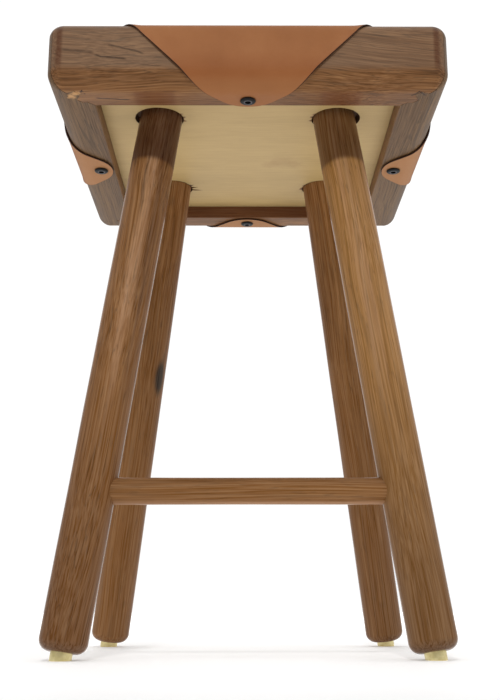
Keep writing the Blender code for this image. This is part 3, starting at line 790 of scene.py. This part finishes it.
def build_legs():
    """Legs and foot pins."""
    brass = brass_material()
    for index, (word, _, side_y) in enumerate(CORNERS):
        place, stretch = leg_place(word)
        bm = lathe(leg_profile(stretch), 96, turned_wobble(index, 0.00022))
        cutters = [kerf_mesh(word)]
        if side_y < 0:
            cutters.append(rod(STRETCHER_RADIUS + GAP / 2, -STRETCHER_HALF - GAP,
                               STRETCHER_HALF + GAP, 64, STRETCHER_PLACE))
        for cutter in cutters:
            cutter.transform(place.inverted())
        mesh = carve(finish_mesh(bm, f"{word}_leg"), cutters)
        material = leg_material(f"walnut_{word}_leg", **LEG_LOOKS[word])
        add_piece(f"{word}_leg_walnut", mesh, f"{word}_leg", material,
                  place=place)
        build_pin(word, place, stretch, brass)


def build_pin(word, place, stretch, brass):
    """A brass foot pin with an eased rim, trimmed flat on the floor."""
    ease = 0.0005
    top = (LEG_END_HEIGHT + PIN_BURIED) * stretch
    profile = [(0.0, -PAST_FACE), (PIN_RADIUS, -PAST_FACE), (PIN_RADIUS, top - ease),
               (PIN_RADIUS - ease, top), (0.0, top)]
    bm = lathe(profile, 64)
    floor_normal = place.to_3x3().inverted() @ UP
    cut = cut_away(bm, Vector(), -floor_normal)
    rim = [item for item in cut if isinstance(item, bmesh.types.BMEdge)]
    bmesh.ops.edgenet_fill(bm, edges=rim)
    rim = [edge for edge in bm.edges
           if all(abs(vert.co @ floor_normal) < 1e-6 for vert in edge.verts)]
    bmesh.ops.bevel(bm, geom=rim, offset=ease, segments=3, profile=0.5, affect="EDGES",
                    clamp_overlap=True)
    bmesh.ops.transform(bm, matrix=place, verts=bm.verts)
    add_piece(f"{word}_foot_pin_brass", finish_mesh(bm, f"{word}_foot_pin"),
              f"{word}_foot_pin", brass)


def build_stretcher():
    """The rung between the front legs."""
    ease = 0.0006
    profile = [(0.0, -STRETCHER_HALF), (STRETCHER_RADIUS - ease, -STRETCHER_HALF)]
    profile += [(STRETCHER_RADIUS, (STRETCHER_HALF - ease) * (2 * share - 1))
                for share in shares(24)]
    profile += [(STRETCHER_RADIUS - ease, STRETCHER_HALF), (0.0, STRETCHER_HALF)]
    mesh = finish_mesh(lathe(profile, 72, turned_wobble(9, 0.00012)), "stretcher")
    # The rung's pale strip is painted floor light along its underside.
    material = leg_material("walnut_stretcher", (2.3, 0.4, 5.2), figure=0.2, gloss=0.62,
                            painted_foot_shade=None, strips_from=-1.0, sap_and_painted_light=(-12.0, 34.0, 0.6))
    add_piece("front_stretcher_walnut", mesh, "front_stretcher", material,
              place=STRETCHER_PLACE)


def splinter_mesh(start, direction, length, width, depth):
    """A thin pointed chip cutter that bites into the panel's lower face."""
    below = 0.001
    side = Vector((-direction.y, direction.x, 0.0)) * width / 2
    low = panel_low.z - below
    bm = bmesh.new()
    base = [start + side, start - side, start + direction * length]
    lower = [bm.verts.new((p.x, p.y, low)) for p in base]
    upper = [bm.verts.new((p.x, p.y, low + below + depth * share))
             for p, share in zip(base, (1.0, 0.8, 0.05))]
    bm.faces.new(lower)
    bm.faces.new(upper)
    skin(bm, [lower, upper])
    return finish_mesh(bm, "splinter")


def build_panel():
    """The plywood panel with its four oversize holes and their torn edges."""
    half = panel_high.x
    mesh = prism(rectangle(-half, -half, half, half), panel_low.z, panel_high.z)
    shader = plywood_shader()
    cutters = []
    for index, (word, side_x, side_y) in enumerate(CORNERS):
        place, stretch = leg_place(word)
        hole = place @ Matrix.Translation((side_x * HOLE_OFFSET, side_y * HOLE_OFFSET, 0.0))
        cutters.append(rod(HOLE_RADIUS, (panel_low.z - PAST_FACE) * stretch,
                           (panel_high.z + PAST_FACE) * stretch, 96, hole))
        centre = hole @ (UP * panel_low.z * stretch)
        torn_most = 2.4 if word == "rear_left" else 1.0
        for turn, length, width in ((-6, 0.0046, 0.0013), (10, 0.0030, 0.0016),
                                    (24, 0.0022, 0.0014)):
            uneven = 9 * noise.noise(Vector((index * 3.1, turn * 0.3, 0.5)))
            angle = math.radians(turn + uneven)
            direction = Vector((-side_x * math.cos(angle), -0.9 * math.sin(angle), 0.0))
            start = centre + direction * (HOLE_RADIUS - 0.0008)
            cutters.append(splinter_mesh(start, direction, length * torn_most,
                                         width * torn_most, 0.0011))
            chip = Vector((start.x, start.y, panel_low.z)) + direction * 0.0012
            shader.paint(srgb(110, 68, 36), shader.near(chip, 0.0024, ragged=0.003), 0.75)
    for along, across, size in ((0.021, 0.018, 0.010), (0.031, 0.011, 0.013),
                                (0.043, 0.016, 0.009)):
        stain = shader.near((along, across, panel_low.z), size, ragged=0.012)
        shader.paint(srgb(138, 104, 62), stain, 0.22)
    add_piece("underside_panel_birch", carve(mesh, cutters), "underside_panel",
              shader.finish(), angle=20)


# --- leather cover ---

FLAT_HALF = HALF_SEAT - TOP_ROUND
TOP_ARC = TOP_ROUND * math.pi / 2
SIDE_RUN = FRAME_TOP - FRAME_BOTTOM - TOP_ROUND - BOTTOM_ROUND
BOTTOM_ARC = BOTTOM_ROUND * math.pi / 2
SCREW_RUN = TOP_ARC + SIDE_RUN + BOTTOM_ARC + SCREW_INSET - BOTTOM_ROUND


def fold(run, lift):
    """Where the sheet is after a run past the flat top: (outward reach, height)."""
    if run <= TOP_ARC:
        angle = run / TOP_ROUND
        reach = FLAT_HALF + (TOP_ROUND + lift) * math.sin(angle)
        return reach, FRAME_TOP - TOP_ROUND + (TOP_ROUND + lift) * math.cos(angle)
    run -= TOP_ARC
    if run <= SIDE_RUN:
        return HALF_SEAT + lift, FRAME_TOP - TOP_ROUND - run
    run -= SIDE_RUN
    if run <= BOTTOM_ARC:
        angle = run / BOTTOM_ROUND
        reach = HALF_SEAT - BOTTOM_ROUND + (BOTTOM_ROUND + lift) * math.cos(angle)
        return reach, FRAME_BOTTOM + BOTTOM_ROUND - (BOTTOM_ROUND + lift) * math.sin(angle)
    run -= BOTTOM_ARC
    return HALF_SEAT - BOTTOM_ROUND - run, FRAME_BOTTOM - lift


def wrapped(x, y, lift):
    """The place of a flat sheet point on the stool, lifted off the wood."""
    if abs(y) > FLAT_HALF:
        reach, height = fold(abs(y) - FLAT_HALF, lift)
        return Vector((x, math.copysign(reach, y), height))
    if abs(x) > FLAT_HALF:
        reach, height = fold(abs(x) - FLAT_HALF, lift)
        return Vector((math.copysign(reach, x), y, height))
    return Vector((x, y, FRAME_TOP + lift))


def smoothstep(value, low, high):
    """0 below low, 1 above high, smooth between."""
    share = min(max((value - low) / (high - low), 0.0), 1.0)
    return share * share * (3 - 2 * share)


def sheet_depth(x, y):
    """How far a flat sheet point is inside the cut edge."""
    return SHEET_HALF_DIAGONAL - abs(x) - abs(y)


def edge_lift(x, y):
    """How far the sheet stands off the wood: its cut edges curl a little."""
    run = max(abs(x), abs(y)) - FLAT_HALF
    near_edge = 1.0 - smoothstep(sheet_depth(x, y), 0.0, 0.012)
    before_screw = 1.0 - smoothstep(run, SCREW_RUN - 0.036, SCREW_RUN - 0.010)
    on_side = smoothstep(run, -0.004, 0.010) * before_screw
    uneven = 1.0 + 0.4 * noise.noise(Vector((x * 18.0, y * 18.0, 2.7)))
    top_curl = 0.2 * (1.0 - smoothstep(run, -0.03, 0.0))
    return 0.0006 * near_edge * uneven * max(on_side, top_curl)


def stretch_share(x, y):
    """How much thinner the sheet is pulled where it bends over the top edge."""
    run = max(abs(x), abs(y)) - FLAT_HALF
    over_edge = smoothstep(run, -0.02, 0.0) * (1.0 - smoothstep(run, TOP_ARC, TOP_ARC * 2.5))
    return 0.62 * over_edge * (0.6 + 0.4 * smoothstep(sheet_depth(x, y), 0.0, 0.010))


def surface_lift(x, y):
    """Extra height of the outer face: soft waves, and a dish under each screw head."""
    dish_depth = 0.0005
    dish_radius = 0.0075
    waves = 0.00008 * noise.noise(Vector((x * 26.0, y * 26.0, 0.0)))
    reach = FLAT_HALF + SCREW_RUN
    nearest = min(math.hypot(x - side_x * reach, y - side_y * reach)
                  for _, side_x, side_y in SIDES)
    return waves - dish_depth * math.exp(-(nearest / dish_radius) ** 2)


def flat_sheet(step, inset):
    """The flat sheet as a bmesh: a grid trimmed to a diamond with round tips."""
    half_diagonal = SHEET_HALF_DIAGONAL - inset * math.sqrt(2)
    tip_radius = TIP_RADIUS - inset
    count = round(half_diagonal / step)
    step = half_diagonal / count
    bm = bmesh.new()
    grid = {}

    def corner(column, row):
        if (column, row) not in grid:
            grid[column, row] = bm.verts.new((column * step, row * step, 0.0))
        return grid[column, row]

    for column in range(-count, count):
        for row in range(-count, count):
            square = rectangle(column, row, column + 1, row + 1)
            kept = [key for key in square if abs(key[0]) + abs(key[1]) <= count]
            if len(kept) >= 3:
                bm.faces.new([corner(*key) for key in kept])
    tip_centre = half_diagonal - tip_radius * math.sqrt(2)
    for quarter in range(4):
        turn = Matrix.Rotation(math.pi / 2 * quarter, 3, "Z")
        for share in shares(24)[1:-1]:
            angle = math.pi / 4 + math.pi / 2 * share
            normal = Vector((math.cos(angle), math.sin(angle), 0.0))
            point = Vector((0.0, tip_centre, 0.0)) + tip_radius * normal
            cut_away(bm, turn @ point, turn @ normal)
    bmesh.ops.remove_doubles(bm, verts=bm.verts[:], dist=0.0002)
    return bm


def boundary_loop(bm):
    """The flat sheet's outline as an ordered list of vertices."""
    start = next(edge for edge in bm.edges if edge.is_boundary)
    loop = [start.verts[0], start.verts[1]]
    while True:
        here = loop[-1]
        onward = next(edge.other_vert(here) for edge in here.link_edges
                      if edge.is_boundary and edge.other_vert(here) is not loop[-2])
        if onward is loop[0]:
            return loop
        loop.append(onward)


def build_cover():
    """The leather sheet, wrapped, with a rounded and burnished rim."""
    rim_round = LEATHER_THICKNESS * 0.45
    flat = flat_sheet(0.0024, rim_round)
    flat.verts.index_update()
    outline = boundary_loop(flat)
    bm = bmesh.new()
    rim_layer = bm.verts.layers.float.new("rim")

    def place(x, y, across, share):
        """across runs from -1 on the wood side to 1 on the outer face."""
        thickness = LEATHER_THICKNESS * (1.0 - stretch_share(x, y))
        clear = GAP * (1.0 - stretch_share(x, y))
        lift = clear + edge_lift(x, y) + (1.0 + across) * thickness / 2
        if across > 0:
            lift += surface_lift(x, y) * across
        made = bm.verts.new(wrapped(x, y, lift))
        made[rim_layer] = share
        return made

    outer = []
    for x, y, _ in [vert.co for vert in flat.verts]:
        burnish = 0.45 * (1.0 - smoothstep(sheet_depth(x, y), 0.0010, 0.0034))
        outer.append(place(x, y, 1.0, burnish))
    inner = [place(vert.co.x, vert.co.y, -1.0, 0.0) for vert in flat.verts]
    for face in flat.faces:
        ring = [vert.index for vert in face.verts]
        bm.faces.new([outer[index] for index in ring])
        bm.faces.new([inner[index] for index in reversed(ring)])

    strips = [[outer[vert.index] for vert in outline]]
    count = len(outline)
    for turned in shares(7)[1:-1]:
        angle = math.pi * turned
        strip = []
        for index, vert in enumerate(outline):
            before = outline[index - 1].co
            after = outline[(index + 1) % count].co
            tangent = (after - before).normalized()
            outward = Vector((tangent.y, -tangent.x, 0.0))
            if outward.dot(vert.co) < 0:
                outward = -outward
            where = vert.co + outward * rim_round * math.sin(angle)
            strip.append(place(where.x, where.y, math.cos(angle), 1.0))
        strips.append(strip)
    strips.append([inner[vert.index] for vert in outline])
    skin(bm, strips)
    flat.free()
    holes = [screw_hole(side_x, side_y, FRAME_BOTTOM + 0.01) for _, side_x, side_y in SIDES]
    mesh = carve(finish_mesh(bm, "leather_cover"), holes)
    add_piece("leather_cover_sheet", mesh, "leather_cover", leather_material(),
              angle=60)


def screw_profile():
    """Half section of a screw, its head's seat at height 0 and its crown below."""
    rim = 0.0006
    flat = SOCKET_RADIUS * 1.25
    root = SHANK_RADIUS * 0.8
    tip = SCREW_TIP - SCREW_SEAT
    point = tip - 0.003
    threads = 11
    pitch = point / threads
    profile = [(0.0, -SCREW_CROWN), (flat, -SCREW_CROWN)]
    for share in shares(10)[1:]:
        angle = math.pi / 2 * share
        profile.append((flat + (SCREW_RADIUS - flat) * math.sin(angle),
                        -rim - (SCREW_CROWN - rim) * math.cos(angle)))
    profile += [(SCREW_RADIUS, -rim * 0.3), (SCREW_RADIUS - rim * 0.3, 0.0),
                (SHANK_RADIUS, 0.0)]
    for thread in range(1, threads):
        profile += [(SHANK_RADIUS, pitch * (thread + 0.25)), (root, pitch * (thread + 0.6))]
    return profile + [(root, point), (0.0, tip)]


def build_screws():
    """Button-head screws with a hexagon socket, head down."""
    steel = steel_material()
    socket_depth = 0.0014
    socket_turn = Matrix.Rotation(math.radians(12), 4, "Z")
    for word, side_x, side_y in SIDES:
        mesh = finish_mesh(lathe(screw_profile(), 48), f"{word}_screw")
        socket = rod(SOCKET_RADIUS, -SCREW_CROWN - PAST_FACE, -SCREW_CROWN + socket_depth, 6,
                     socket_turn)
        add_piece(f"{word}_cover_screw_steel", carve(mesh, [socket]), f"{word}_cover_screw",
                  steel, place=screw_place(side_x, side_y, SCREW_SEAT))


def dress_hidden_nodes():
    """Plain wood on the CAD nodes that stay: battens, wedges and deck."""
    walnut_inside = inner_wood_material("walnut_inside", (srgb(58, 38, 24), srgb(84, 56, 36)),
                                        (180.0, 14.0, 180.0))
    birch = inner_wood_material("birch_deck", (srgb(190, 160, 112), srgb(216, 190, 146)),
                                (14.0, 120.0, 120.0))
    for name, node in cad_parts.items():
        if name.endswith(("batten", "wedge", "deck")):
            node.data.materials.clear()
            node.data.materials.append(birch if name == "seat_deck" else walnut_inside)


# --- floor, light and camera ---

# Brightness of the room to all but the camera, on its left, right, front, rear and top:
# axis, side, brightness
ROOM_SIDES = ((0, -1, 0.45), (0, 1, 0.70), (1, -1, 0.05), (1, 1, 0.90), (2, 1, 1.5))
FLOOR_GLOW = 0.35
BACKDROP = 1.05
# The key light's direction in degrees from the seat's front edge, and its strength
KEY_ELEVATION = 34.0
KEY_TURN = -4.5
KEY_DISTANCE = 1.3
KEY_SIZE = 0.10
KEY_POWER = 6.6
# The camera's place, its angles in degrees and its lens in millimetres
CAMERA_PLACE = (-0.0030, -0.8519, 0.0355)
CAMERA_PITCH = 14.08
CAMERA_YAW = 0.34
CAMERA_ROLL = -0.09
CAMERA_LENS = 52.62


def build_floor():
    """A plain pale floor that glows a little, more toward the back for the camera."""
    bm = bmesh.new()
    bmesh.ops.create_grid(bm, x_segments=1, y_segments=1, size=6.0)
    floor = add_object("floor", finish_mesh(bm, "floor"))
    shader = Shader("pale_floor")
    seen = shader.node("LightPath")["Is Camera Ray"]
    unseen = shader.times(shader.math("SUBTRACT", 1.0, seen), FLOOR_GLOW)
    depth = shader.axes()[1]
    sweep = shader.plus(shader.fade(depth, -0.43, -0.10, 0.0, 0.13),
                        shader.fade(depth, 0.1, 1.3, 0.0, 0.40))
    # The base colour gets darker at the floor's front edge: painted shade.
    shader.set(Base_Color=shader.span(depth, -0.50, -0.34, 0.78, 0.93), Roughness=0.6,
               Specular_IOR_Level=0.25, Emission_Color=(1.0, 0.99, 0.97),
               Emission_Strength=shader.plus(unseen, shader.times(seen, sweep)))
    floor.data.materials.append(shader.owner)


def light_room():
    """A white room, brightest overhead and behind, and plain white to the camera."""
    room = Shader("white_room", "worlds", "Background")
    bpy.context.scene.world = room.owner
    toward = room.axes(room.node("TexCoord")["Generated"])
    total = 0.0
    for axis, side, brightness in ROOM_SIDES:
        facing = room.math("MAXIMUM", room.times(toward[axis], side), 0.0)
        total = room.plus(total, room.times(brightness, room.times(facing, facing)))
    seen = room.node("LightPath")["Is Camera Ray"]
    strength = room.node("Mix", {0: seen, 2: total, 3: BACKDROP})[0]
    room.set(Color=(1.0, 1.0, 1.0), Strength=strength)
    bpy.context.scene.view_settings.view_transform = "Standard"


def add_key_light():
    """A small square light from the front and above."""
    rise = math.radians(KEY_ELEVATION)
    turn = math.radians(KEY_TURN)
    toward = Vector((math.sin(turn) * math.cos(rise), -math.cos(turn) * math.cos(rise),
                     math.sin(rise)))
    lamp = add_object("key", bpy.data.lights.new("key", "AREA"))
    lamp.data.shape = "SQUARE"
    lamp.data.size = KEY_SIZE
    lamp.data.energy = KEY_POWER
    lamp.location = Vector((0.0, -HALF_SEAT, FRAME_BOTTOM)) + toward * KEY_DISTANCE
    lamp.rotation_euler = (-toward).to_track_quat("-Z", "Y").to_euler()


def place_camera():
    """The low front view, looking slightly up."""
    camera = add_object("camera", bpy.data.cameras.new("camera"))
    camera.matrix_world = (Matrix.Translation(CAMERA_PLACE)
                           @ Matrix.Rotation(-math.radians(CAMERA_YAW), 4, "Z")
                           @ Matrix.Rotation(math.radians(90.0 + CAMERA_PITCH), 4, "X")
                           @ Matrix.Rotation(math.radians(CAMERA_ROLL), 4, "Z"))
    camera.data.lens = CAMERA_LENS
    camera.data.clip_start = 0.01
    bpy.context.scene.camera = camera


build_rails()
build_legs()
build_stretcher()
build_panel()
build_cover()
build_screws()
dress_hidden_nodes()
build_floor()
light_room()
add_key_light()
place_camera()
